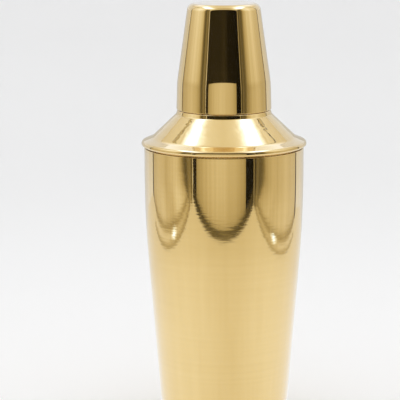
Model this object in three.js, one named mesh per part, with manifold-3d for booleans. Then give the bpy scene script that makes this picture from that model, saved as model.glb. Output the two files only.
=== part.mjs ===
// A three-piece cocktail shaker of about 700 ml in thin brass-coloured sheet metal: a tapered tumbler,
// a strainer top that plugs into it, and a cap that fits over the strainer's neck and doubles as a measure.
// Millimetres, +Z up. The origin is the centre of the base, on the surface that the shaker stands on.

import * as THREE from "three";
import { mergeVertices } from "three/addons/utils/BufferGeometryUtils.js";
import Module from "manifold-3d";

// ---- Driving dimensions ----------------------------------------------------------------------------

const OVERALL_HEIGHT = 232;
const BEAD_DIAMETER = 90; // the widest point, at the strainer's rolled edge
const TUMBLER_HEIGHT = 153.6;
const SHEET = 0.7; // thickness of every pressing except the sieve
const CLEARANCE = 0.3; // between neighbouring pieces

const tumbler = {
  mouthRadius: 43.47, // outside of the straight upper wall
  bendHeight: 116.3, // the straight wall and the taper would cross here
  bendRadius: 596, // of the long curve that joins them
  taper: 0.0786, // the tapered wall's radius grows by this for each millimetre up
  heelHeight: 7.5, // the tapered wall and the heel's cone would cross here
  heelAngle: THREE.MathUtils.degToRad(48), // of the heel's cone above the table
  heelRadius: 23, // of the curve from the wall into the heel
  footFillet: 5, // from the heel to the standing ring
  ringInnerRadius: 22.5, // of the flat ring that the tumbler stands on
  recessRadius: 20.5, // the base is pushed up inside the ring
  recessDepth: 2,
  recessFillet: 1.5,
};

const bead = {
  curlEndRadius: 43.2, // where the rolled sheet stops, over the tumbler's lip
  undersideRise: 1.25, // from the curl's end to the bead's lower corner
  edgeHeight: 1.9, // of the bead's upright edge, corner to corner
  lowerFillet: 1,
  upperFillet: 1.8,
};

const shoulder = {
  footRadius: 39.5, // the cone would meet the flange here
  flangeRise: 2.1, // of the flange, from the bead's upper corner to the cone
  slope: 1.053, // the cone's radius grows by this for each millimetre down
  footFillet: 5,
  collarRadius: 25.7, // flush with the cap's edge
  collarFillet: 3,
  lipRadius: 21.5, // the neck's top turns in to this radius
  neckHeight: 15.7, // from the ledge under the cap's edge to the top
  neckFillet: 2,
  ledgeFillet: 0.8,
};

const sleeve = {
  depth: 16.7, // how far it reaches into the tumbler, below the seam
  leadIn: 0.6, // the bottom edge is drawn in by this much
  leadHeight: 3,
};

const sieve = {
  sheet: 0.6,
  skirtHeight: 3.5,
  fillet: 1.2,
  holeRadius: 1.8,
  rings: 3, // rings of 6, 12 and 18 holes round one in the middle
  ringPitch: 5.4,
};

const cap = {
  edgeRadius: 25.85, // outside, at the open edge
  edgeHeight: 174.6, // of the open edge above the table
  skirtDraft: 0.0274, // radius lost for each millimetre up the skirt
  bendHeight: 189.2, // the skirt and the taper would cross here
  bendRadius: 50,
  topRadius: 19.4, // outside, where the taper would meet the flat top
  topFillet: 3.9,
};

const ROUND_SEGMENTS = 48; // round the axis
const HOLE_SEGMENTS = 10;
const FILLET_STEP = Math.PI / 8; // the most that one chord of a fillet turns

// ---- Derived sizes ---------------------------------------------------------------------------------

const seamHeight = TUMBLER_HEIGHT + CLEARANCE;
const beadLow = seamHeight + bead.undersideRise;
const beadHigh = beadLow + bead.edgeHeight;
const coneFoot = beadHigh + shoulder.flangeRise;
const ledgeHeight = cap.edgeHeight - CLEARANCE;
const neckTop = ledgeHeight + shoulder.neckHeight;
const coneTop = coneFoot + (shoulder.footRadius - shoulder.collarRadius) / shoulder.slope;
const flangeSlope = Math.atan2(shoulder.flangeRise, BEAD_DIAMETER / 2 - shoulder.footRadius);
const sleeveRadius = tumbler.mouthRadius - SHEET - CLEARANCE;

const taperRadiusAt = (z) => tumbler.mouthRadius - tumbler.taper * (tumbler.bendHeight - z);
const flangeHeightAt = (radius) => coneFoot - (radius - shoulder.footRadius) * Math.tan(flangeSlope);
const capRadiusAt = (z) => cap.edgeRadius - cap.skirtDraft * (z - cap.edgeHeight);
const neckRadiusAt = (z) => capRadiusAt(z) - SHEET - CLEARANCE;

// ---- Profiles in the (radius, height) plane --------------------------------------------------------

const corner = (radius, height, fillet = 0) => ({ at: new THREE.Vector2(radius, height), fillet });

// The points of one fillet, from its first tangent point to its last.
function filletPoints(before, { at, fillet }, after) {
  const towardsBefore = before.clone().sub(at).normalize();
  const towardsAfter = after.clone().sub(at).normalize();
  const halfAngle = Math.acos(THREE.MathUtils.clamp(towardsBefore.dot(towardsAfter), -1, 1)) / 2;
  const start = at.clone().addScaledVector(towardsBefore, fillet / Math.tan(halfAngle));
  const bisector = towardsBefore.clone().add(towardsAfter).normalize();
  const centre = at.clone().addScaledVector(bisector, fillet / Math.sin(halfAngle));
  const turn = Math.PI - 2 * halfAngle;
  const direction = Math.sign(towardsAfter.cross(towardsBefore));
  const steps = Math.max(turn * fillet > 10 ? 5 : 1, Math.ceil(turn / FILLET_STEP));
  return Array.from({ length: steps + 1 }, (_, i) =>
    start.clone().rotateAround(centre, (direction * turn * i) / steps),
  );
}

// A path through corners, each rounded by its own fillet.
function roundedPath(corners) {
  return corners.flatMap((c, i) =>
    c.fillet ? filletPoints(corners[i - 1].at, c, corners[i + 1].at) : [c.at.clone()],
  );
}

// The same path moved sideways to its left by a distance.
function offsetPath(path, distance) {
  const normals = path.slice(1).map((p, i) => {
    const along = p.clone().sub(path[i]).normalize();
    return new THREE.Vector2(-along.y, along.x);
  });
  return path.map((p, i) => {
    const a = normals[Math.max(0, i - 1)];
    const b = normals[Math.min(normals.length - 1, i)];
    return p.clone().addScaledVector(a.clone().add(b), distance / (1 + a.dot(b)));
  });
}

// A sheet whose outer face follows a path and whose thickness lies to the path's left.
function sheetOutline(outerFace, thickness) {
  return [...outerFace, ...offsetPath(outerFace, thickness).reverse()];
}

const turned = (outline) => new THREE.LatheGeometry(outline, ROUND_SEGMENTS);
const closed = (outline) => [...outline, outline[0].clone()];

// ---- Materials -------------------------------------------------------------------------------------

const brass = (colour, roughness) => new THREE.MeshStandardMaterial({ color: colour, roughness, metalness: 1 });
const satinBrass = brass(0xe0c083, 0.22);
const polishedBrass = brass(0xe6c888, 0.08);

// ---- Pieces ----------------------------------------------------------------------------------------

function tumblerGeometry() {
  const t = tumbler;
  const heelTopRadius = taperRadiusAt(t.heelHeight);
  const outside = roundedPath([
    corner(0, t.recessDepth),
    corner(t.recessRadius, t.recessDepth, t.recessFillet),
    corner(t.ringInnerRadius, 0, t.recessFillet),
    corner(heelTopRadius - t.heelHeight / Math.tan(t.heelAngle), 0, t.footFillet),
    corner(heelTopRadius, t.heelHeight, t.heelRadius),
    corner(t.mouthRadius, t.bendHeight, t.bendRadius),
    corner(t.mouthRadius, TUMBLER_HEIGHT),
  ]);
  return turned(sheetOutline(outside, SHEET));
}

// Neck, cone, flange and rolled bead, all of one sheet.
function shoulderGeometry() {
  const s = shoulder;
  const outside = roundedPath([
    corner(bead.curlEndRadius, seamHeight),
    corner(BEAD_DIAMETER / 2, beadLow, bead.lowerFillet),
    corner(BEAD_DIAMETER / 2, beadHigh, bead.upperFillet),
    corner(s.footRadius, coneFoot, s.footFillet),
    corner(s.collarRadius, coneTop, s.collarFillet),
    corner(s.collarRadius, ledgeHeight, s.ledgeFillet),
    corner(neckRadiusAt(ledgeHeight), ledgeHeight),
    corner(neckRadiusAt(neckTop), neckTop, s.neckFillet),
    corner(s.lipRadius, neckTop),
  ]);
  return turned(closed(sheetOutline(outside, SHEET)));
}

function sleeveGeometry() {
  const bottom = seamHeight - sleeve.depth;
  const outside = roundedPath([
    corner(sleeveRadius - sleeve.leadIn, bottom),
    corner(sleeveRadius, bottom + sleeve.leadHeight, sleeve.leadHeight),
    corner(sleeveRadius, flangeHeightAt(sleeveRadius) - (SHEET + CLEARANCE) / Math.cos(flangeSlope)),
  ]);
  return turned(closed(sheetOutline(outside, SHEET)));
}

function sievePlate() {
  const top = neckTop - SHEET - CLEARANCE;
  const radius = neckRadiusAt(top) - SHEET - CLEARANCE;
  const outside = roundedPath([
    corner(radius, top - sieve.skirtHeight),
    corner(radius, top, sieve.fillet),
    corner(0, top),
  ]);
  const inside = offsetPath(outside, sieve.sheet);
  return turned([...inside.reverse(), ...outside]);
}

// Where the sieve's holes stand: one in the middle and rings of 6, 12 and 18.
function sieveHoleCentres() {
  const rings = Array.from({ length: sieve.rings }, (_, k) => k + 1);
  const onRing = (k) =>
    Array.from({ length: 6 * k }, (_, i) =>
      new THREE.Vector2(k * sieve.ringPitch, 0).rotateAround(new THREE.Vector2(), (i * Math.PI) / (3 * k)),
    );
  return [new THREE.Vector2(), ...rings.flatMap(onRing)];
}

function capGeometry() {
  const c = cap;
  const outside = roundedPath([
    corner(c.edgeRadius, c.edgeHeight),
    corner(capRadiusAt(c.bendHeight), c.bendHeight, c.bendRadius),
    corner(c.topRadius, OVERALL_HEIGHT, c.topFillet),
    corner(0, OVERALL_HEIGHT),
  ]);
  const inside = offsetPath(outside, SHEET);
  return turned([...inside.reverse(), ...outside]);
}

// ---- Solids with holes cut in them -----------------------------------------------------------------

const wasm = await Module();
wasm.setup();

function solidFrom(geometry) {
  const bare = new THREE.BufferGeometry().setAttribute("position", geometry.getAttribute("position"));
  bare.setIndex(geometry.getIndex());
  const merged = mergeVertices(bare, 1e-4);
  return new wasm.Manifold(
    new wasm.Mesh({
      numProp: 3,
      vertProperties: merged.getAttribute("position").array,
      triVerts: new Uint32Array(merged.getIndex().array),
    }),
  );
}

function geometryFrom(solid) {
  const mesh = solid.getMesh();
  return new THREE.BufferGeometry()
    .setAttribute("position", new THREE.BufferAttribute(mesh.vertProperties, 3))
    .setIndex(new THREE.BufferAttribute(mesh.triVerts, 1));
}

// The lathe's axis is +Y, so the holes are drilled along Y.
function sieveGeometry() {
  const drill = (centre) => {
    const length = 4 * sieve.skirtHeight;
    const bit = new THREE.CylinderGeometry(sieve.holeRadius, sieve.holeRadius, length, HOLE_SEGMENTS);
    return solidFrom(bit.translate(centre.x, neckTop, centre.y));
  };
  const drilled = sieveHoleCentres().reduce((plate, at) => plate.subtract(drill(at)), solidFrom(sievePlate()));
  return geometryFrom(drilled);
}

// ---- The shaker ------------------------------------------------------------------------------------

function piece(name, geometry, material) {
  const mesh = new THREE.Mesh(geometry, material);
  mesh.name = name;
  return mesh;
}

const strainer = new THREE.Group();
strainer.add(
  piece("strainer_shoulder", shoulderGeometry(), polishedBrass),
  piece("strainer_sleeve", sleeveGeometry(), satinBrass),
  piece("sieve_plate", sieveGeometry(), polishedBrass),
);

const shaker = new THREE.Group();
shaker.add(piece("tumbler", tumblerGeometry(), satinBrass), strainer, piece("cap", capGeometry(), polishedBrass));
shaker.rotation.x = Math.PI / 2; // the profiles turn about +Y, and the shaker stands along +Z

export default shaker;
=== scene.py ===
"""The looks of a gold-tone cocktail shaker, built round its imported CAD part.

Blender works in metres. The profiles below are in millimetres, as radius and height above the table,
and every piece is turned about +Z. A piece's overall sizes come from the box of the CAD node it replaces.
"""

import math

import bpy
import numpy as np
from mathutils import Matrix, Vector


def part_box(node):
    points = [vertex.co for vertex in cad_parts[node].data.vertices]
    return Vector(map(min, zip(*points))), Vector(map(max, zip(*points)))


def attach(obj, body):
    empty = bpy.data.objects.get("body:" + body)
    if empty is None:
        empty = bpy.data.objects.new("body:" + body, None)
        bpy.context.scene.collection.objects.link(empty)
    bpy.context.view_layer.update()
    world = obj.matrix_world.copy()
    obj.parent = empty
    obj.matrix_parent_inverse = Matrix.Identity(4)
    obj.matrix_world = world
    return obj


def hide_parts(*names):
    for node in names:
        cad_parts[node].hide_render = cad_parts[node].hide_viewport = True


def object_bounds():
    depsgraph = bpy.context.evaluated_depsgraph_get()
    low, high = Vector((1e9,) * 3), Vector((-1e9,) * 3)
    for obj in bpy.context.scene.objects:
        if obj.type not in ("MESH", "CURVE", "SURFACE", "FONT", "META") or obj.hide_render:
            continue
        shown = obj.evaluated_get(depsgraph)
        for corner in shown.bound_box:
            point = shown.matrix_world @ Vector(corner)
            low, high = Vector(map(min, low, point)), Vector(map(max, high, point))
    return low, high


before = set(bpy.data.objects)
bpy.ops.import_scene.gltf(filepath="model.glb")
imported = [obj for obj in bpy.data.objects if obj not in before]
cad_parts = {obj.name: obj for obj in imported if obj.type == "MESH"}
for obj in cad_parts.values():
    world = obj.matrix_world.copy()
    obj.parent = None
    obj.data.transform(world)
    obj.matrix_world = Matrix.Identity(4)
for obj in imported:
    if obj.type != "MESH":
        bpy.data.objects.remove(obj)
cad_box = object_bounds()

MM = 0.001

# ---- Sheet metal -----------------------------------------------------------------------------------

SHEET = 0.7  # thickness of every pressing except the sieve, mm
SIEVE_SHEET = 0.6
ROUND_SEGMENTS = 192
ARC_STEP = math.radians(5)  # the most that one chord of a fillet turns
LONG_ARC = 10  # an arc longer than this, in mm, gets LONG_ARC_STEPS at least
LONG_ARC_STEPS = 24
RIM_STEPS = 8  # round a cut edge of the sheet
TINY = 1e-6  # a length that counts as none
MERGE_DIGITS = 5  # profile points that agree to this many decimals share one ring of vertices


def size_of(node):
    """Radius, bottom and top of a CAD node, in mm."""
    low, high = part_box(node)
    return high.x / MM, low.z / MM, high.z / MM


# ---- Profiles: runs of (point, outward normal) in the (radius, height) plane ------------------------


def corner(radius, height, fillet=0.0):
    """A corner of an outline, and the radius that rounds it."""
    return Vector((radius, height)), fillet


def right_of(direction):
    """The direction turned by a quarter turn to the right."""
    return Vector((direction.y, -direction.x))


def straight_run(start, end):
    normal = right_of((end - start).normalized())
    return [(start, normal), (end, normal)]


def fillet_run(before, at, after, fillet):
    """The arc that rounds one corner."""
    back, on = (before - at).normalized(), (after - at).normalized()
    half = math.acos(max(-1.0, min(1.0, back.dot(on)))) / 2
    centre = at + (back + on).normalized() * fillet / math.sin(half)
    start = at + back * fillet / math.tan(half)
    turn = math.pi - 2 * half
    left = back.x * on.y - back.y * on.x < 0
    side = 1 if left else -1
    steps = max(math.ceil(turn / ARC_STEP), LONG_ARC_STEPS if turn * fillet > LONG_ARC else 2)
    spoke = (start - centre) / fillet
    run = []
    for i in range(steps + 1):
        spoke_now = Matrix.Rotation(side * turn * i / steps, 2) @ spoke
        run.append((centre + spoke_now * fillet, spoke_now * side))
    return run


def rounded_path(corners):
    """Straight runs and fillets through the corners. The sheet lies to the path's left."""
    runs, start = [], corners[0][0]
    for i, (at, fillet) in enumerate(corners[1:], 1):
        arc = fillet_run(corners[i - 1][0], at, corners[i + 1][0], fillet) if fillet else []
        end = arc[0][0] if arc else at
        if (end - start).length > TINY:
            runs.append(straight_run(start, end))
        if arc:
            runs.append(arc)
        start = arc[-1][0] if arc else at
    return runs


def other_face(runs, thickness):
    """The sheet's other face, run through backwards."""
    return [[(p - n * thickness, -n) for p, n in reversed(run)] for run in reversed(runs)]


def rim_run(point, normal, thickness):
    """The half round that closes a cut edge, from the face at this point to the other face."""
    on = Vector((-normal.y, normal.x))
    run = []
    for i in range(RIM_STEPS + 1):
        a = math.pi * i / RIM_STEPS
        spoke = normal * math.cos(a) + on * math.sin(a)
        run.append((point + (spoke - normal) * thickness / 2, spoke))
    return run


def pulled_back(run, distance):
    """A straight run whose last point stops short, to leave room for its rounded edge."""
    (start, normal), (end, _) = run
    return [(start, normal), (end - (end - start).normalized() * distance, normal)]


def reversed_run(run):
    return [(p, n) for p, n in reversed(run)]


def sheet_outline(corners, thickness, start_on_axis=False, end_on_axis=False):
    """All round a sheet whose outer face goes through the corners: both faces and any cut edge."""
    runs = rounded_path(corners)
    if not end_on_axis:
        runs[-1] = pulled_back(runs[-1], thickness / 2)
    if not start_on_axis:
        runs[0] = reversed_run(pulled_back(reversed_run(runs[0]), thickness / 2))
    back = other_face(runs, thickness)
    outline = list(runs)
    if not end_on_axis:
        outline.append(rim_run(*runs[-1][-1], thickness))
    outline += back
    if not start_on_axis:
        outline.append(rim_run(*back[-1][-1], thickness))
    return outline


# ---- Meshes ----------------------------------------------------------------------------------------


def turned(name, runs, unit=MM, segments=ROUND_SEGMENTS):
    """An object turned about +Z from runs of profile points, shaded by the profile's own normals."""
    angles = np.linspace(0, 2 * math.pi, segments, endpoint=False)
    cos, sin = np.cos(angles), np.sin(angles)
    rings, positions, faces, normals = {}, [], [], []

    def ring(point):
        key = (round(point.x, MERGE_DIGITS), round(point.y, MERGE_DIGITS))
        if key not in rings:
            first = len(positions)
            on_axis = point.x < TINY
            count = 1 if on_axis else segments
            for j in range(count):
                positions.append((point.x * cos[j] * unit, point.x * sin[j] * unit, point.y * unit))
            rings[key] = [first + (0 if on_axis else j) for j in range(segments)]
        return rings[key]

    for run in runs:
        for (p, n), (q, m) in zip(run, run[1:]):
            low, high = ring(p), ring(q)
            for j in range(segments):
                k = (j + 1) % segments
                loop = [(low[j], n, j), (low[k], n, k), (high[k], m, k), (high[j], m, j)]
                kept = [c for i, c in enumerate(loop) if c[0] != loop[i - 1][0]]
                faces.append([c[0] for c in kept])
                normals += [(v.x * cos[i], v.x * sin[i], v.y) for _, v, i in kept]
    mesh = bpy.data.meshes.new(name)
    mesh.from_pydata(positions, [], faces)
    mesh.polygons.foreach_set("use_smooth", [True] * len(faces))
    mesh.normals_split_custom_set(normals)
    obj = bpy.data.objects.new(name, mesh)
    bpy.context.scene.collection.objects.link(obj)
    return obj


# ---- Nodes -----------------------------------------------------------------------------------------


class Nodes:
    """A short way to write a material's node tree."""

    def __init__(self, name):
        self.material = bpy.data.materials.new(name)
        self.material.use_nodes = True
        self.tree = self.material.node_tree
        self.tree.nodes.clear()

    def add(self, kind, inputs=None, **settings):
        node = self.tree.nodes.new("ShaderNode" + kind)
        for key, value in settings.items():
            setattr(node, key, value)
        for key, value in (inputs or {}).items():
            if isinstance(value, bpy.types.NodeSocket):
                self.tree.links.new(value, node.inputs[key])
            else:
                node.inputs[key].default_value = value
        return node

    def object_point(self, scale):
        """Object coordinates in metres, each times its scale."""
        here = self.add("TexCoord").outputs["Object"]
        return self.add("Mapping", {"Vector": here, "Scale": scale}).outputs["Vector"]

    def noise(self, scale, detail=2.0):
        point = self.object_point(scale)
        return self.add("TexNoise", {"Vector": point, "Scale": 1.0, "Detail": detail}).outputs["Fac"]

    def maths(self, operation, a, b):
        return self.add("Math", {0: a, 1: b}, operation=operation).outputs[0]

    def between(self, factor, low, high):
        """A number from low to high as the factor goes from 0.3 to 0.7, where most noise lies."""
        limits = {"Value": factor, "From Min": 0.3, "From Max": 0.7, "To Min": low, "To Max": high}
        return self.add("MapRange", limits).outputs["Result"]

    def ramp(self, factor, stops):
        """A grey level that follows stops of (place, level)."""
        node = self.add("ValToRGB", {"Fac": factor})
        band = node.color_ramp
        while len(band.elements) < len(stops):
            band.elements.new(0.5)
        for element, (place, level) in zip(band.elements, stops):
            element.position = place
            element.color = (level, level, level, 1)
        return node.outputs["Color"]

    def multiplied(self, a, b):
        return self.add("Mix", {"Factor": 1.0, "A": a, "B": b}, data_type="RGBA",
                        blend_type="MULTIPLY").outputs["Result"]

    def facing_axis(self):
        """1 on surfaces that face the Z axis, such as the inside of a cup, and 0 elsewhere."""
        here = self.add("TexCoord").outputs
        flat = self.add("VectorMath", {0: here["Object"], 1: (1, 1, 0)}, operation="MULTIPLY")
        outward = self.add("VectorMath", {0: flat.outputs[0]}, operation="NORMALIZE").outputs[0]
        facing = self.add("VectorMath", {0: outward, 1: here["Normal"]}, operation="DOT_PRODUCT")
        return self.maths("LESS_THAN", facing.outputs["Value"], -0.5)

    def bump(self, height, metres, normal=None):
        inputs = {"Height": height, "Distance": metres, "Strength": 1.0}
        if normal is not None:
            inputs["Normal"] = normal
        return self.add("Bump", inputs).outputs["Normal"]

    def finish(self, shader):
        out = self.add("OutputMaterial")
        self.tree.links.new(shader, out.inputs["Surface"])
        return self.material


# ---- Metal finishes --------------------------------------------------------------------------------
# A noise's scale is in patches per metre along x, y and z, and a bump's height is in metres.

GOLD = (0.86, 0.64, 0.27)
PLATING_DRIFT = (0.96, 0.94, 0.88)  # how much deeper the gold's second shade is
PLAIN_SHADE = 0.93  # of the hidden pieces, against the others
SATIN_ROUGHNESS = (0.032, 0.048)  # from patch to patch
POLISHED_ROUGHNESS = (0.03, 0.07)
PLAIN_ROUGHNESS = (0.20, 0.32)
MATT_INSIDE = 0.34  # more roughness inside the tumbler than outside
STREAK_SHARE = 0.65  # of the satin's drift, and the rest is in its hairlines
CONE_WAVES = ((0.160, 0), (0.163, 1), (0.170, 1), (0.173, 0))  # height above the table, and how wavy


def gold_colour(nodes, colour, patches):
    """Gold tone that drifts between two shades as the noise called patches does."""
    drift = nodes.between(patches, 0, 1)
    deeper = tuple(c * k for c, k in zip(colour, PLATING_DRIFT))
    mix = nodes.add("Mix", {"Factor": drift, "A": (*colour, 1), "B": (*deeper, 1)}, data_type="RGBA")
    return mix.outputs["Result"]


def metal(nodes, colour, roughness, normal, **constants):
    shader = nodes.add("BsdfPrincipled", {
        "Base Color": colour,
        "Metallic": 1.0,
        "Roughness": roughness,
        "Normal": normal,
    })
    for key, value in constants.items():
        shader.inputs[key.replace("_", " ")].default_value = value
    return shader


def satin_gold():
    """Fine satin turned round the axis: reflections are drawn out up and down, and stay sharp sideways.
    The inside is matt."""
    nodes = Nodes("satin_gold")
    rings = nodes.noise((120, 120, 700), detail=3)
    waves = nodes.noise((30, 30, 60), detail=1)
    normal = nodes.bump(rings, 1.5e-5, nodes.bump(waves, 2.0e-5))
    fine = nodes.between(nodes.noise((40, 40, 900), detail=3), *SATIN_ROUGHNESS)
    roughness = nodes.maths("ADD", fine, nodes.maths("MULTIPLY", nodes.facing_axis(), MATT_INSIDE))
    streaks = nodes.maths("MULTIPLY", nodes.noise((200, 200, 6), detail=3), STREAK_SHARE)
    hairlines = nodes.maths("MULTIPLY", nodes.noise((15, 15, 1000), detail=1), 1 - STREAK_SHARE)
    colour = gold_colour(nodes, GOLD, nodes.maths("ADD", streaks, hairlines))
    shader = metal(nodes, colour, roughness, normal,
                   Anisotropic=0.8, Anisotropic_Rotation=0.25,
                   Coat_Weight=1.0, Coat_IOR=1.6, Coat_Roughness=0.05,
                   Sheen_Weight=0.3, Sheen_Roughness=0.45)
    around = nodes.add("Tangent", direction_type="RADIAL", axis="Z").outputs["Tangent"]
    nodes.tree.links.new(around, shader.inputs["Tangent"])
    return nodes.finish(shader.outputs["BSDF"])


def polished_gold():
    """Mirror polish, with the faint waves and hairlines that a buffing wheel leaves. The cone of the
    strainer, which is spun over a former, is a little wavier."""
    nodes = Nodes("polished_gold")
    waves = nodes.noise((70, 70, 70), detail=2)
    hairlines = nodes.noise((160, 160, 2400), detail=2)
    buffed = nodes.bump(hairlines, 1.5e-7, nodes.bump(waves, 1.2e-5))
    height = nodes.add("SeparateXYZ", {"Vector": nodes.add("TexCoord").outputs["Object"]}).outputs["Z"]
    on_cone = nodes.ramp(height, CONE_WAVES)
    ripples = nodes.multiplied(on_cone, nodes.noise((200, 200, 200), detail=1))
    roughness = nodes.between(nodes.noise((60, 60, 300), detail=3), *POLISHED_ROUGHNESS)
    colour = gold_colour(nodes, GOLD, nodes.noise((22, 22, 22), detail=3))
    shader = metal(nodes, colour, roughness, nodes.bump(ripples, 1.2e-4, buffed),
                   Coat_Weight=1.0, Coat_IOR=1.6, Coat_Roughness=0.03,
                   Sheen_Weight=0.2, Sheen_Roughness=0.45)
    return nodes.finish(shader.outputs["BSDF"])


def strainer_gold():
    """Plain drawn sheet with little polish, a shade darker."""
    nodes = Nodes("strainer_gold")
    grain = nodes.noise((900, 900, 900), detail=3)
    normal = nodes.bump(grain, 2.0e-6, nodes.bump(nodes.noise((60, 60, 60)), 2.0e-5))
    roughness = nodes.between(nodes.noise((120, 120, 120), detail=3), *PLAIN_ROUGHNESS)
    darker = tuple(PLAIN_SHADE * c for c in GOLD)
    colour = gold_colour(nodes, darker, nodes.noise((40, 40, 40), detail=3))
    return nodes.finish(metal(nodes, colour, roughness, normal).outputs["BSDF"])


# ---- Pieces ----------------------------------------------------------------------------------------

BASE_RECESS = 2  # the depth of the hollow in the tumbler's base
RECESS_RADIUS = 20.5
RING_RADIUS = 22.5  # where the ring that the tumbler stands on begins
HEEL_HEIGHT = 7.5
HEEL_ANGLE = math.radians(48)
HEEL_FILLET = 23
TAPER = 0.0786  # radius gained for each mm up the tapered wall
BEND_HEIGHT = 116.3  # the tumbler's straight wall and its taper would cross here
BEND_FILLET = 596  # which turns one gently into the other

CAP_DRAFT = 0.0274  # radius lost for each mm up the cap's skirt
CAP_BEND_HEIGHT = 189.2
CAP_BEND_FILLET = 50
CAP_TOP_RADIUS = 19.4
CAP_TOP_FILLET = 3.9

CURL_END_RADIUS = 43.2
BEAD_RISES = (1.25, 1.9, 2.1)  # underside, upright edge and flange, one above the other
CONE_FOOT_RADIUS = 39.5
CONE_SLOPE = 1.053  # radius gained for each mm down the cone
CONE_TOP_RADIUS = 26.1  # where the collar meets the cone
COLLAR_RADIUS = 25.4  # just inside the cap's edge
NECK_WALL = 1.0  # from the cap's outside to the neck's: a sheet and a gap
NECK_LIP_RADIUS = 21.5  # of the hole in the neck's top
CLEARANCE = 0.3

PLUG_LEAD_IN = 0.6  # how far the plug ring's lower edge turns in
PLUG_FILLET = 3
HOLE_RADIUS = 1.8
HOLE_EDGE = 0.2  # how deep the softened edge of a hole is
HOLE_RINGS = 3  # rings of 6, 12 and 18 round one hole in the middle
RING_PITCH = 5.4
DRILL_SEGMENTS = 32
DRILL_REACH = 1  # past each face of the plate


def make_tumbler():
    mouth, base, top = size_of("tumbler")
    heel_top = mouth - TAPER * (BEND_HEIGHT - HEEL_HEIGHT)
    return turned("tumbler_shell", sheet_outline([
        corner(0, base + BASE_RECESS),
        corner(RECESS_RADIUS, base + BASE_RECESS, 1.5),
        corner(RING_RADIUS, base, 1.5),
        corner(heel_top - HEEL_HEIGHT / math.tan(HEEL_ANGLE), base, 5),
        corner(heel_top, HEEL_HEIGHT, HEEL_FILLET),
        corner(mouth, BEND_HEIGHT, BEND_FILLET),
        corner(mouth, top),
    ], SHEET, start_on_axis=True))


def cap_radius_at(height):
    edge_radius, edge, _ = size_of("cap")
    return edge_radius - CAP_DRAFT * (height - edge)


def make_shoulder():
    bead_radius, seam, neck_top = size_of("strainer_shoulder")
    underside, edge, flange = BEAD_RISES
    bead_low = seam + underside
    bead_high = bead_low + edge
    cone_foot = bead_high + flange
    cone_top = cone_foot + (CONE_FOOT_RADIUS - CONE_TOP_RADIUS) / CONE_SLOPE
    ledge = size_of("cap")[1] - CLEARANCE
    return turned("strainer_shell", sheet_outline([
        corner(CURL_END_RADIUS, seam),
        corner(bead_radius, bead_low, 1),
        corner(bead_radius, bead_high, 1.8),
        corner(CONE_FOOT_RADIUS, cone_foot, 5),
        corner(CONE_TOP_RADIUS, cone_top, 1.4),
        corner(COLLAR_RADIUS, ledge, 0.8),
        corner(cap_radius_at(ledge) - NECK_WALL, ledge),
        corner(cap_radius_at(neck_top) - NECK_WALL, neck_top, 2),
        corner(NECK_LIP_RADIUS, neck_top),
    ], SHEET))


def make_sleeve():
    radius, bottom, top = size_of("strainer_sleeve")
    return turned("strainer_plug_ring", sheet_outline([
        corner(radius - PLUG_LEAD_IN, bottom),
        corner(radius, bottom + PLUG_FILLET, PLUG_FILLET),
        corner(radius, top),
    ], SHEET))


def make_cap():
    radius, edge, top = size_of("cap")
    return turned("cap_shell", sheet_outline([
        corner(radius, edge),
        corner(cap_radius_at(CAP_BEND_HEIGHT), CAP_BEND_HEIGHT, CAP_BEND_FILLET),
        corner(CAP_TOP_RADIUS, top, CAP_TOP_FILLET),
        corner(0, top),
    ], SHEET, end_on_axis=True))


def hole_centres():
    centres = [Vector((0, 0, 0))]
    for ring in range(1, HOLE_RINGS + 1):
        for i in range(6 * ring):
            angle = math.pi * i / (3 * ring)
            centres.append(Vector((math.cos(angle), math.sin(angle), 0)) * ring * RING_PITCH * MM)
    return centres


def hole_cutter(top):
    """One mesh of every drill, each flared at both faces of the plate so that the holes' edges are soft."""
    low = top - SIEVE_SHEET
    flare = HOLE_RADIUS + DRILL_REACH + HOLE_EDGE
    drill = turned("drills", rounded_path([
        corner(0, low - DRILL_REACH),
        corner(flare, low - DRILL_REACH),
        corner(HOLE_RADIUS, low + HOLE_EDGE, 0.3),
        corner(HOLE_RADIUS, top - HOLE_EDGE, 0.3),
        corner(flare, top + DRILL_REACH),
        corner(0, top + DRILL_REACH),
    ]), segments=DRILL_SEGMENTS)
    single = drill.data
    positions, faces = [], []
    for centre in hole_centres():
        first = len(positions)
        positions += [v.co + centre for v in single.vertices]
        faces += [[first + i for i in p.vertices] for p in single.polygons]
    mesh = bpy.data.meshes.new("drills_all")
    mesh.from_pydata(positions, [], faces)
    drill.data = mesh
    return drill


def make_sieve():
    radius, bottom, top = size_of("sieve_plate")
    plate = turned("sieve_disc", sheet_outline([
        corner(radius, bottom),
        corner(radius, top, 1.2),
        corner(0, top),
    ], SIEVE_SHEET, end_on_axis=True))
    cutter = hole_cutter(top)
    cut = plate.modifiers.new("holes", "BOOLEAN")
    cut.object = cutter
    cut.operation = "DIFFERENCE"
    cut.solver = "EXACT"
    weigh = plate.modifiers.new("flat_faces", "WEIGHTED_NORMAL")
    weigh.keep_sharp = False
    depsgraph = bpy.context.evaluated_depsgraph_get()
    final = bpy.data.meshes.new_from_object(plate.evaluated_get(depsgraph))
    plate.modifiers.clear()
    plate.data = final
    bpy.data.objects.remove(cutter)
    return plate


PIECES = [  # maker, CAD node, body and finish
    (make_tumbler, "tumbler", "tumbler", "satin_gold"),
    (make_shoulder, "strainer_shoulder", "strainer", "polished_gold"),
    (make_sleeve, "strainer_sleeve", "strainer", "strainer_gold"),
    (make_sieve, "sieve_plate", "strainer", "strainer_gold"),
    (make_cap, "cap", "cap", "polished_gold"),
]


def build_shaker():
    finishes = {make.__name__: make() for make in (satin_gold, polished_gold, strainer_gold)}
    for make, node, body, slot in PIECES:
        piece = make()
        piece.data.materials.clear()
        piece.data.materials.append(finishes[slot])
        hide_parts(node)
        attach(piece, body)


# ---- Stage -----------------------------------------------------------------------------------------

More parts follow.
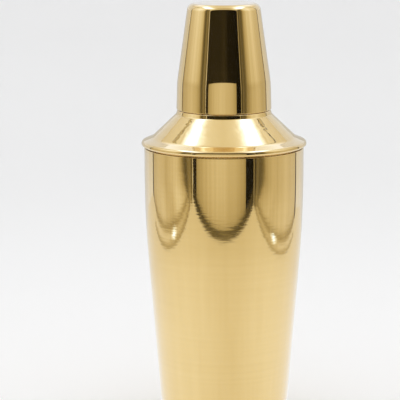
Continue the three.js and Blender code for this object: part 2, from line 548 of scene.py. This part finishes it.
FLOOR_RADIUS = 2.3  # flat floor, m
SWEEP_RADIUS = 1.2  # of the curve up to the wall
WALL_HEIGHT = 2.8
FLOOR_SEGMENTS = 128
PAPER = (0.92, 0.92, 0.922)
ROOM_LIGHT = 1.02
SOFTBOX_AZIMUTH = 105  # to either side, with 0 towards the camera, degrees
SOFTBOX_ELEVATION = 62
SOFTBOX_SPREAD = 75
SOFTBOX_DISTANCE = 1.1  # m
SOFTBOX_SIDE = 0.34
SOFTBOX_AIM = Vector((0, 0, 0.15))  # a point inside the shaker
SOFTBOX_RADIANCE = 0.48


def pale_paper():
    nodes = Nodes("pale_paper")
    shader = nodes.add("BsdfDiffuse", {"Color": (*PAPER, 1)})
    return nodes.finish(shader.outputs["BSDF"])


def build_floor():
    wall = FLOOR_RADIUS + SWEEP_RADIUS
    floor = turned("studio_floor", rounded_path([
        corner(wall, WALL_HEIGHT),
        corner(wall, 0, SWEEP_RADIUS),
        corner(0, 0),
    ]), unit=1, segments=FLOOR_SEGMENTS)
    floor.data.materials.append(pale_paper())


def build_room_light():
    world = bpy.data.worlds.new("studio_room")
    world.use_nodes = True
    background = world.node_tree.nodes["Background"]
    background.inputs["Color"].default_value = (1, 1, 1, 1)
    background.inputs["Strength"].default_value = ROOM_LIGHT
    bpy.context.scene.world = world


def softbox(name, azimuth):
    """A soft square light that faces the shaker but doesn't show in it."""
    a, e = math.radians(azimuth), math.radians(SOFTBOX_ELEVATION)
    away = Vector((math.sin(a) * math.cos(e), -math.cos(a) * math.cos(e), math.sin(e)))
    light = bpy.data.lights.new(name, "AREA")
    light.size = SOFTBOX_SIDE
    light.spread = math.radians(SOFTBOX_SPREAD)
    light.energy = SOFTBOX_RADIANCE * math.pi * SOFTBOX_SIDE * SOFTBOX_SIDE
    obj = bpy.data.objects.new(name, light)
    obj.location = SOFTBOX_AIM + away * SOFTBOX_DISTANCE
    obj.rotation_euler = away.to_track_quat("Z", "Y").to_euler()
    obj.visible_glossy = False
    bpy.context.scene.collection.objects.link(obj)


# ---- Screens that only the metal reflects ----------------------------------------------------------
# Lengths are in metres from the shaker's axis. A screen's stops are (place from 0 to 1, brightness).

DIM_GLOW = (1.0, 0.84, 0.45)
FULL_GLOW = (1.0, 1.02, 1.08)
WHITENING = 2.4  # the power of its brightness that makes a screen whiter
PATCHES = (30, 30, 2)  # of cloth and card that are a little brighter or darker, per m
UNEVEN = 0.06  # by how much they are
HIDDEN_FROM = ("camera", "diffuse", "transmission", "volume_scatter", "shadow")
LINE_POINTS = 13  # along a line drawn on the floor
RING_POINTS = 49

TABLE_HEIGHT = 0.0004
STRIP_HEIGHT = 0.001  # of what lies round the table
GLEAM_HEIGHT = 0.002
TABLE_RADII = (0.036, 0.75)
ROOM_FRONT = 0.45  # where the corners of the room meet its front

CARD_FRONT = 0.447
CARD_TOP = 0.253
CARD_FOOT_ENDS = (-0.436, 0.283)
CARD_TOP_ENDS = (-0.395, 0.279)  # its left edge leans
DARK_FRONT = 0.46
DARK_TOP = 0.55
HEADER_FRONT = 0.47
FRONT_ENDS = (-0.66, 0.60)
GAP_FRONT = 0.392
GAP_ENDS = (-0.60, 0.60)
FRONT_BOW = 0.5
GAP_BOW = 0.45

NEAREST = -0.08  # the y where a side is nearest to the shaker
STRIP_ENDS = (-0.47, 0.24)
GLEAM_EDGES = ((0.03, -0.155, -0.05), (0.08, -0.175, -0.06))  # past the table's edge, from y, to y
SIDE_TOP = 0.62
PANEL_FRONTS = ((-0.42, 0.0), (-0.25, 0.068), (-0.268, 0.11), (-0.25, SIDE_TOP))  # y, and at what height
CORNER_STRENGTH = 2.5
LIGHT_LINE_SPREAD = 0.03  # how much the line of light widens on its way up
EDGE_TOP = 0.72
EDGE_TOP_WIDTH = 0.018
EDGE_LEVEL = 0.01
POST_ENDS = (-0.01, 0.09)  # past the panel's rear

REAR_CARD_LINE = ((-0.64, 0.38), (-0.4, 0.5), (0.4, 0.5), (0.52, 0.34))
REAR_CARD_TOP = 0.25

CEILING = 1.0
FRONT_CLOTH_EDGE = ((0.78, -0.60), (0.78, -0.15), (0.63, 0.30))  # the right one, which the left mirrors
REAR_CLOTH_EDGE = ((1.0, 0.30), (1.0, 1.20))


def flat(level):
    return ((0, level), (1, level))


def mirrored(stops):
    """The stops from one edge to the middle, and the same again to the other edge."""
    return (*stops, *((1 - at, level) for at, level in reversed(stops[:-1])))


def glow_material(name, across, up, strength, pale, uneven):
    nodes = Nodes(name)
    place = nodes.add("SeparateXYZ", {"Vector": nodes.add("UVMap").outputs["UV"]})
    sideways = nodes.ramp(place.outputs["X"], across)
    upward = nodes.ramp(place.outputs["Y"], up)
    patches = nodes.between(nodes.noise(PATCHES), 1 - uneven, 1 + uneven)
    smooth = nodes.maths("MULTIPLY", nodes.multiplied(sideways, upward), strength)
    brightness = nodes.maths("MULTIPLY", smooth, patches)
    whiteness = nodes.maths("ADD", nodes.maths("POWER", brightness, WHITENING), pale)
    colour = nodes.add("Mix", {"Factor": whiteness, "A": (*DIM_GLOW, 1), "B": (*FULL_GLOW, 1)},
                       data_type="RGBA", clamp_factor=False)
    glow = nodes.add("Emission", {"Color": colour.outputs["Result"], "Strength": brightness})
    return nodes.finish(glow.outputs["Emission"])


def screen(name, low_edge, high_edge, across, up=flat(1), strength=1.0, pale=0.0, uneven=UNEVEN):
    """A glowing sheet between two edges, which shows only in reflections. Its brightness follows the
    stops across it, along the edges, times the stops up it, from the low edge to the high one. Where
    it is brighter it is whiter too, and a pale screen is whiter all over."""
    count = len(low_edge)
    faces = [(i, i + 1, count + i + 1, count + i) for i in range(count - 1)]
    mesh = bpy.data.meshes.new(name)
    mesh.from_pydata([*low_edge, *high_edge], [], faces)
    uv = mesh.uv_layers.new(name="UVMap")
    for loop in mesh.loops:
        i = loop.vertex_index
        uv.data[loop.index].uv = ((i % count) / (count - 1), i // count)
    mesh.materials.append(glow_material(name, across, up, strength, pale, uneven))
    obj = bpy.data.objects.new(name, mesh)
    bpy.context.scene.collection.objects.link(obj)
    for rays in HIDDEN_FROM:
        setattr(obj, "visible_" + rays, False)


def at_height(z, plan):
    return [(*p, z) for p in plan]


def upright(name, plan, low, high, across, **more):
    """A vertical screen that stands on a line drawn on the floor."""
    screen(name, at_height(low, plan), at_height(high, plan), across, **more)


def lying(name, plan, far_plan, height, across, **more):
    """A flat screen at one height, between two lines drawn on the floor. It has no uneven patches."""
    screen(name, at_height(height, plan), at_height(height, far_plan), across, uneven=0.0, **more)


def side_line(side, reach, bow, y_from, y_to, count=LINE_POINTS):
    """A line on the floor beside the shaker, side -1 or 1, bowed away from it in front and behind."""
    ys = [y_from + (y_to - y_from) * i / (count - 1) for i in range(count)]
    return [(side * (reach + bow * (y - NEAREST) ** 2), y) for y in ys]


def front_line(distance, bow, x_from, x_to):
    """A line on the floor in front of the shaker, bowed away from it at both ends."""
    xs = [x_from + (x_to - x_from) * i / (LINE_POINTS - 1) for i in range(LINE_POINTS)]
    return [(x, -(distance + bow * x * x)) for x in xs]


def line_between(start, end):
    ways = [i / (LINE_POINTS - 1) for i in range(LINE_POINTS)]
    return [tuple(a + (b - a) * way for a, b in zip(start, end)) for way in ways]


def ring_line(radius):
    """A circle round the shaker, from behind it by the left to behind it again."""
    turns = [2 * math.pi * i / (RING_POINTS - 1) for i in range(RING_POINTS)]
    return [(-radius * math.sin(a), radius * math.cos(a)) for a in turns]


def build_table_screen():
    """The table top, which is brighter beside the shaker than in front of it."""
    inner, outer = (ring_line(radius) for radius in TABLE_RADII)
    lying("table_top", inner, outer, TABLE_HEIGHT,
          ((0, 0.94), (0.2, 0.97), (0.3, 0.98), (0.38, 0.96), (0.44, 0.91), (0.5, 0.87), (0.56, 0.89),
           (0.62, 0.94), (0.7, 0.98), (0.8, 0.97), (1, 0.94)),
          up=((0, 1.0), (0.2, 1.0), (0.35, 0.95), (0.45, 0.89), (0.65, 0.85), (1, 0.82)))


def build_front_screens():
    """A card that faces the shaker across the table, in front of a dark room with a bright header, and
    the dim gap between the table and the room."""
    card_foot = front_line(CARD_FRONT, FRONT_BOW, *CARD_FOOT_ENDS)
    card_top = front_line(CARD_FRONT, FRONT_BOW, *CARD_TOP_ENDS)
    screen("front_card", at_height(GLEAM_HEIGHT, card_foot), at_height(CARD_TOP, card_top),
           ((0, 0.44), (0.18, 0.60), (0.4, 0.75), (0.5, 0.77), (0.6, 0.73), (0.8, 0.65), (1, 0.43)),
           up=((0, 0.64), (0.03, 0.80), (0.08, 0.88), (0.2, 0.95), (0.35, 1.0), (1, 1.0)))
    upright("front_room", front_line(DARK_FRONT, FRONT_BOW, *FRONT_ENDS), 0.0, DARK_TOP,
            ((0, 0.03), (0.46, 0.03), (0.53, 0.04), (0.60, 0.015), (1, 0.008)))
    upright("front_header", front_line(HEADER_FRONT, FRONT_BOW, *FRONT_ENDS), DARK_TOP, CEILING,
            flat(0.85), up=((0, 0.04), (0.3, 0.12), (0.50, 0.84), (0.68, 1.02), (1, 1.06)))
    gap_near = front_line(GAP_FRONT, GAP_BOW, *GAP_ENDS)
    gap_far = front_line(HEADER_FRONT, FRONT_BOW, *GAP_ENDS)
    lying("front_gap", gap_near, gap_far, STRIP_HEIGHT,
          ((0, 0.3), (0.2, 0.5), (0.5, 1.0), (0.8, 0.5), (1, 0.3)),
          up=((0, 0.22), (0.2, 0.20), (0.35, 0.14), (0.55, 0.14), (0.75, 0.28), (1, 0.36)))


# The two sides of the tent differ a little. A table edge and a panel are each a reach and a bow, rear is
# the y of a panel's rear edge, and a line of light goes from one x to another with one brightness.

LEFT_SIDE = dict(
    side=-1,
    table=(0.371, 0.8),
    panel=(0.467, 0.7),
    rear=0.328,
    edge_width=0.056,
    light_line=(0.434, 0.447, 0.80),
    low_levels=((0, 0.54), (0.09, 0.76), (0.18, 0.84), (0.26, 0.81), (0.34, 0.71), (0.42, 0.67),
                (0.51, 0.73), (0.62, 0.78), (0.78, 0.70), (1, 0.58)),
    high_levels=((0, 0.52), (0.05, 0.60), (0.17, 0.74), (0.27, 0.82), (0.36, 0.86), (0.5, 0.80),
                 (0.67, 0.71), (0.85, 0.64), (1, 0.52)),
    corner_levels=((0, 0.10), (0.07, 0.12), (0.2, 0.26), (0.4, 0.27), (0.56, 0.15), (0.72, 0.15),
                   (0.86, 0.30), (1, 0.50)),
)
RIGHT_SIDE = dict(
    side=1,
    table=(0.350, 0.5),
    panel=(0.412, 0.4),
    rear=0.282,
    edge_width=0.042,
    light_line=(0.402, 0.414, 0.50),
    low_levels=((0, 0.48), (0.08, 0.60), (0.16, 0.68), (0.24, 0.73), (0.31, 0.70), (0.39, 0.72),
                (0.5, 0.76), (0.66, 0.76), (0.8, 0.72), (1, 0.64)),
    high_levels=((0, 0.40), (0.08, 0.52), (0.16, 0.66), (0.28, 0.76), (0.43, 0.82), (0.58, 0.73),
                 (0.75, 0.66), (1, 0.60)),
    corner_levels=((0, 0.04), (0.1, 0.06), (0.22, 0.14), (0.38, 0.21), (0.55, 0.15), (0.7, 0.16),
                   (0.82, 0.21), (0.92, 0.30), (1, 0.42)),
)

# A side is in three parts, one above the other. Each has stops up its panel, the panel's strength, and
# stops up its corner.

SIDE_PARTS = {
    "low": dict(
        panel_up=((0, 0.52), (0.073, 0.60), (0.162, 0.86), (0.26, 1.0), (0.55, 1.0), (0.9, 0.94), (1, 0.93)),
        strength=1.0,
        corner_up=((0, 0.45), (0.275, 0.75), (0.45, 0.50), (0.8, 0.40), (1, 0.40)),
    ),
    "middle": dict(
        panel_up=((0, 0.93), (1, 0.90)),
        strength=1.0,
        corner_up=flat(0.40),
    ),
    "high": dict(
        panel_up=((0, 0.61), (0.06, 0.61), (0.157, 0.59), (0.245, 0.70), (0.353, 0.80), (0.51, 0.93),
                  (0.765, 1.0), (1, 1.0)),
        strength=1.4,
        corner_up=((0, 0.40), (1, 0.38)),
    ),
}


def build_side_floor(word, side, table, panel):
    """The strip between the table's edge and the panel, and a gleam on it."""
    lying("strip_" + word, side_line(side, *table, *STRIP_ENDS), side_line(side, *panel, *STRIP_ENDS),
          STRIP_HEIGHT, ((0, 0.7), (0.3, 0.8), (0.6, 1.0), (1, 1.0)),
          up=((0, 0.38), (0.06, 0.40), (0.14, 0.54), (0.28, 0.68), (0.45, 0.84), (0.65, 0.83),
              (0.85, 0.66), (1, 0.48)))
    near, far = ([(side * (table[0] + past), y) for y in ys] for past, *ys in GLEAM_EDGES)
    lying("gleam_" + word, near, far, GLEAM_HEIGHT,
          ((0, 0.42), (0.5, 1.0), (1, 0.42)), up=((0, 0.45), (0.4, 1.0), (1, 0.5)), strength=1.9)


def build_rear_edge(word, side, panel, rear, edge_width):
    """The dark edge behind a panel, and the post above it."""
    foot = side_line(side, *panel, rear, rear + edge_width, count=2)
    top = side_line(side, *panel, rear, rear + EDGE_TOP_WIDTH, count=2)
    screen("rear_edge_" + word, at_height(0.0, foot), at_height(EDGE_TOP, top), flat(EDGE_LEVEL))
    post_start, post_end = POST_ENDS
    upright("rear_post_" + word, side_line(side, *panel, rear + post_start, rear + post_end, count=3),
            EDGE_TOP, CEILING,
            ((0, 0.03), (0.12, 0.20), (0.3, 0.66), (0.6, 0.70), (0.82, 0.40), (1, 0.12)))


def build_side_screens(word, side, table, panel, rear, edge_width, light_line, low_levels, high_levels,
                       corner_levels):
    """One side of the tent: the floor beside the table, a pale panel and its dark rear edge, and a corner
    that glows dim and brown as painted shade, for the shaded part of the tent where its front meets this
    side, and ends in a thin line of light."""
    build_side_floor(word, side, table, panel)
    line_start, line_end, line_level = light_line
    end = (side * line_end, -ROOM_FRONT)
    panel_lines = [at_height(z, side_line(side, *panel, front, rear)) for front, z in PANEL_FRONTS]
    corner_lines = [line_between((*end, line[0][2]), line[0]) for line in panel_lines]
    for i, (part, looks) in enumerate(SIDE_PARTS.items()):
        levels = high_levels if part == "high" else low_levels
        screen(f"{part}_panel_{word}", *panel_lines[i:i + 2], levels, up=looks["panel_up"],
               strength=looks["strength"])
        # The corner's dim brown glow is painted shade, for the shaded part of the tent between its front and
        # this side.
        screen(f"{part}_corner_{word}", *corner_lines[i:i + 2], corner_levels, up=looks["corner_up"],
               strength=CORNER_STRENGTH)
    foot = [(side * line_start, -ROOM_FRONT), end]
    top = [(side * (line_start - LIGHT_LINE_SPREAD), -ROOM_FRONT), end]
    screen("light_line_" + word, at_height(0.0, foot), at_height(SIDE_TOP, top), flat(line_level),
           up=((0, 1.0), (0.05, 0.9), (0.12, 0.8), (0.3, 1.0), (1, 0.9)))
    build_rear_edge(word, side, panel, rear, edge_width)


def build_rear_screen():
    """A card behind the shaker, dimmer across its middle."""
    upright("rear_card", REAR_CARD_LINE, 0.0, REAR_CARD_TOP,
            ((0, 0.76), (0.3, 0.76), (0.42, 0.62), (0.58, 0.62), (0.7, 0.76), (1, 0.76)),
            up=((0, 0.88), (0.2, 0.80), (0.5, 0.76), (1, 0.76)), strength=1.25, pale=0.3)


def build_cloth(name, right_edge, across, half_up, strength):
    """A light cloth overhead, alike on the left and the right."""
    left_edge = [(-x, y) for x, y in right_edge]
    lying(name, left_edge, right_edge, CEILING, across, up=mirrored(half_up), strength=strength)


def build_ceiling_screens():
    """Two cloths, both dimmer along the middle. The rear one is dimmer than the front one."""
    build_cloth("front_cloth", FRONT_CLOTH_EDGE,
                ((0, 0.25), (0.09, 0.60), (0.23, 0.62), (0.36, 0.72), (0.44, 1.0), (0.8, 0.95), (1, 0.8)),
                ((0, 0.50), (0.05, 0.68), (0.10, 0.85), (0.17, 0.95), (0.23, 0.95), (0.295, 0.70),
                 (0.353, 0.52), (0.40, 0.475), (0.5, 0.445)), strength=2.0)
    build_cloth("rear_cloth", REAR_CLOTH_EDGE, ((0, 1.0), (0.6, 1.0), (1, 0.92)),
                ((0, 0.62), (0.10, 0.66), (0.16, 0.72), (0.20, 0.78), (0.25, 0.87), (0.325, 0.96),
                 (0.4, 0.77), (0.5, 0.68)), strength=1.3)


def build_screens():
    build_table_screen()
    build_front_screens()
    build_side_screens("left", **LEFT_SIDE)
    build_side_screens("right", **RIGHT_SIDE)
    build_rear_screen()
    build_ceiling_screens()


# ---- Camera ----------------------------------------------------------------------------------------

CAMERA_DISTANCE = 1.070  # from the shaker's axis, m
CAMERA_HEIGHT = 0.3144
CAMERA_DOWN = math.radians(10.09)
CAMERA_YAW = math.radians(0.7063)  # to the left
CAMERA_ROLL = 0.00308  # radians
LENS = 178.2  # mm
SENSOR_WIDTH = 36
FARTHEST_SEEN = 20  # m


def build_camera():
    camera = bpy.data.cameras.new("camera")
    camera.lens = LENS
    camera.sensor_width = SENSOR_WIDTH
    camera.clip_end = FARTHEST_SEEN
    obj = bpy.data.objects.new("camera", camera)
    axis = (cad_box[0] + cad_box[1]) / 2
    obj.matrix_world = (
        Matrix.Translation((axis.x, axis.y - CAMERA_DISTANCE, CAMERA_HEIGHT))
        @ Matrix.Rotation(CAMERA_YAW, 4, "Z")
        @ Matrix.Rotation(math.pi / 2 - CAMERA_DOWN, 4, "X")
        @ Matrix.Rotation(-CAMERA_ROLL, 4, "Z")
    )
    bpy.context.scene.collection.objects.link(obj)
    bpy.context.scene.camera = obj


# ---- Everything ------------------------------------------------------------------------------------

build_shaker()
build_floor()
build_room_light()
softbox("softbox_left", -SOFTBOX_AZIMUTH)
softbox("softbox_right", SOFTBOX_AZIMUTH)
build_screens()
build_camera()
bpy.context.scene.view_settings.view_transform = "Standard"
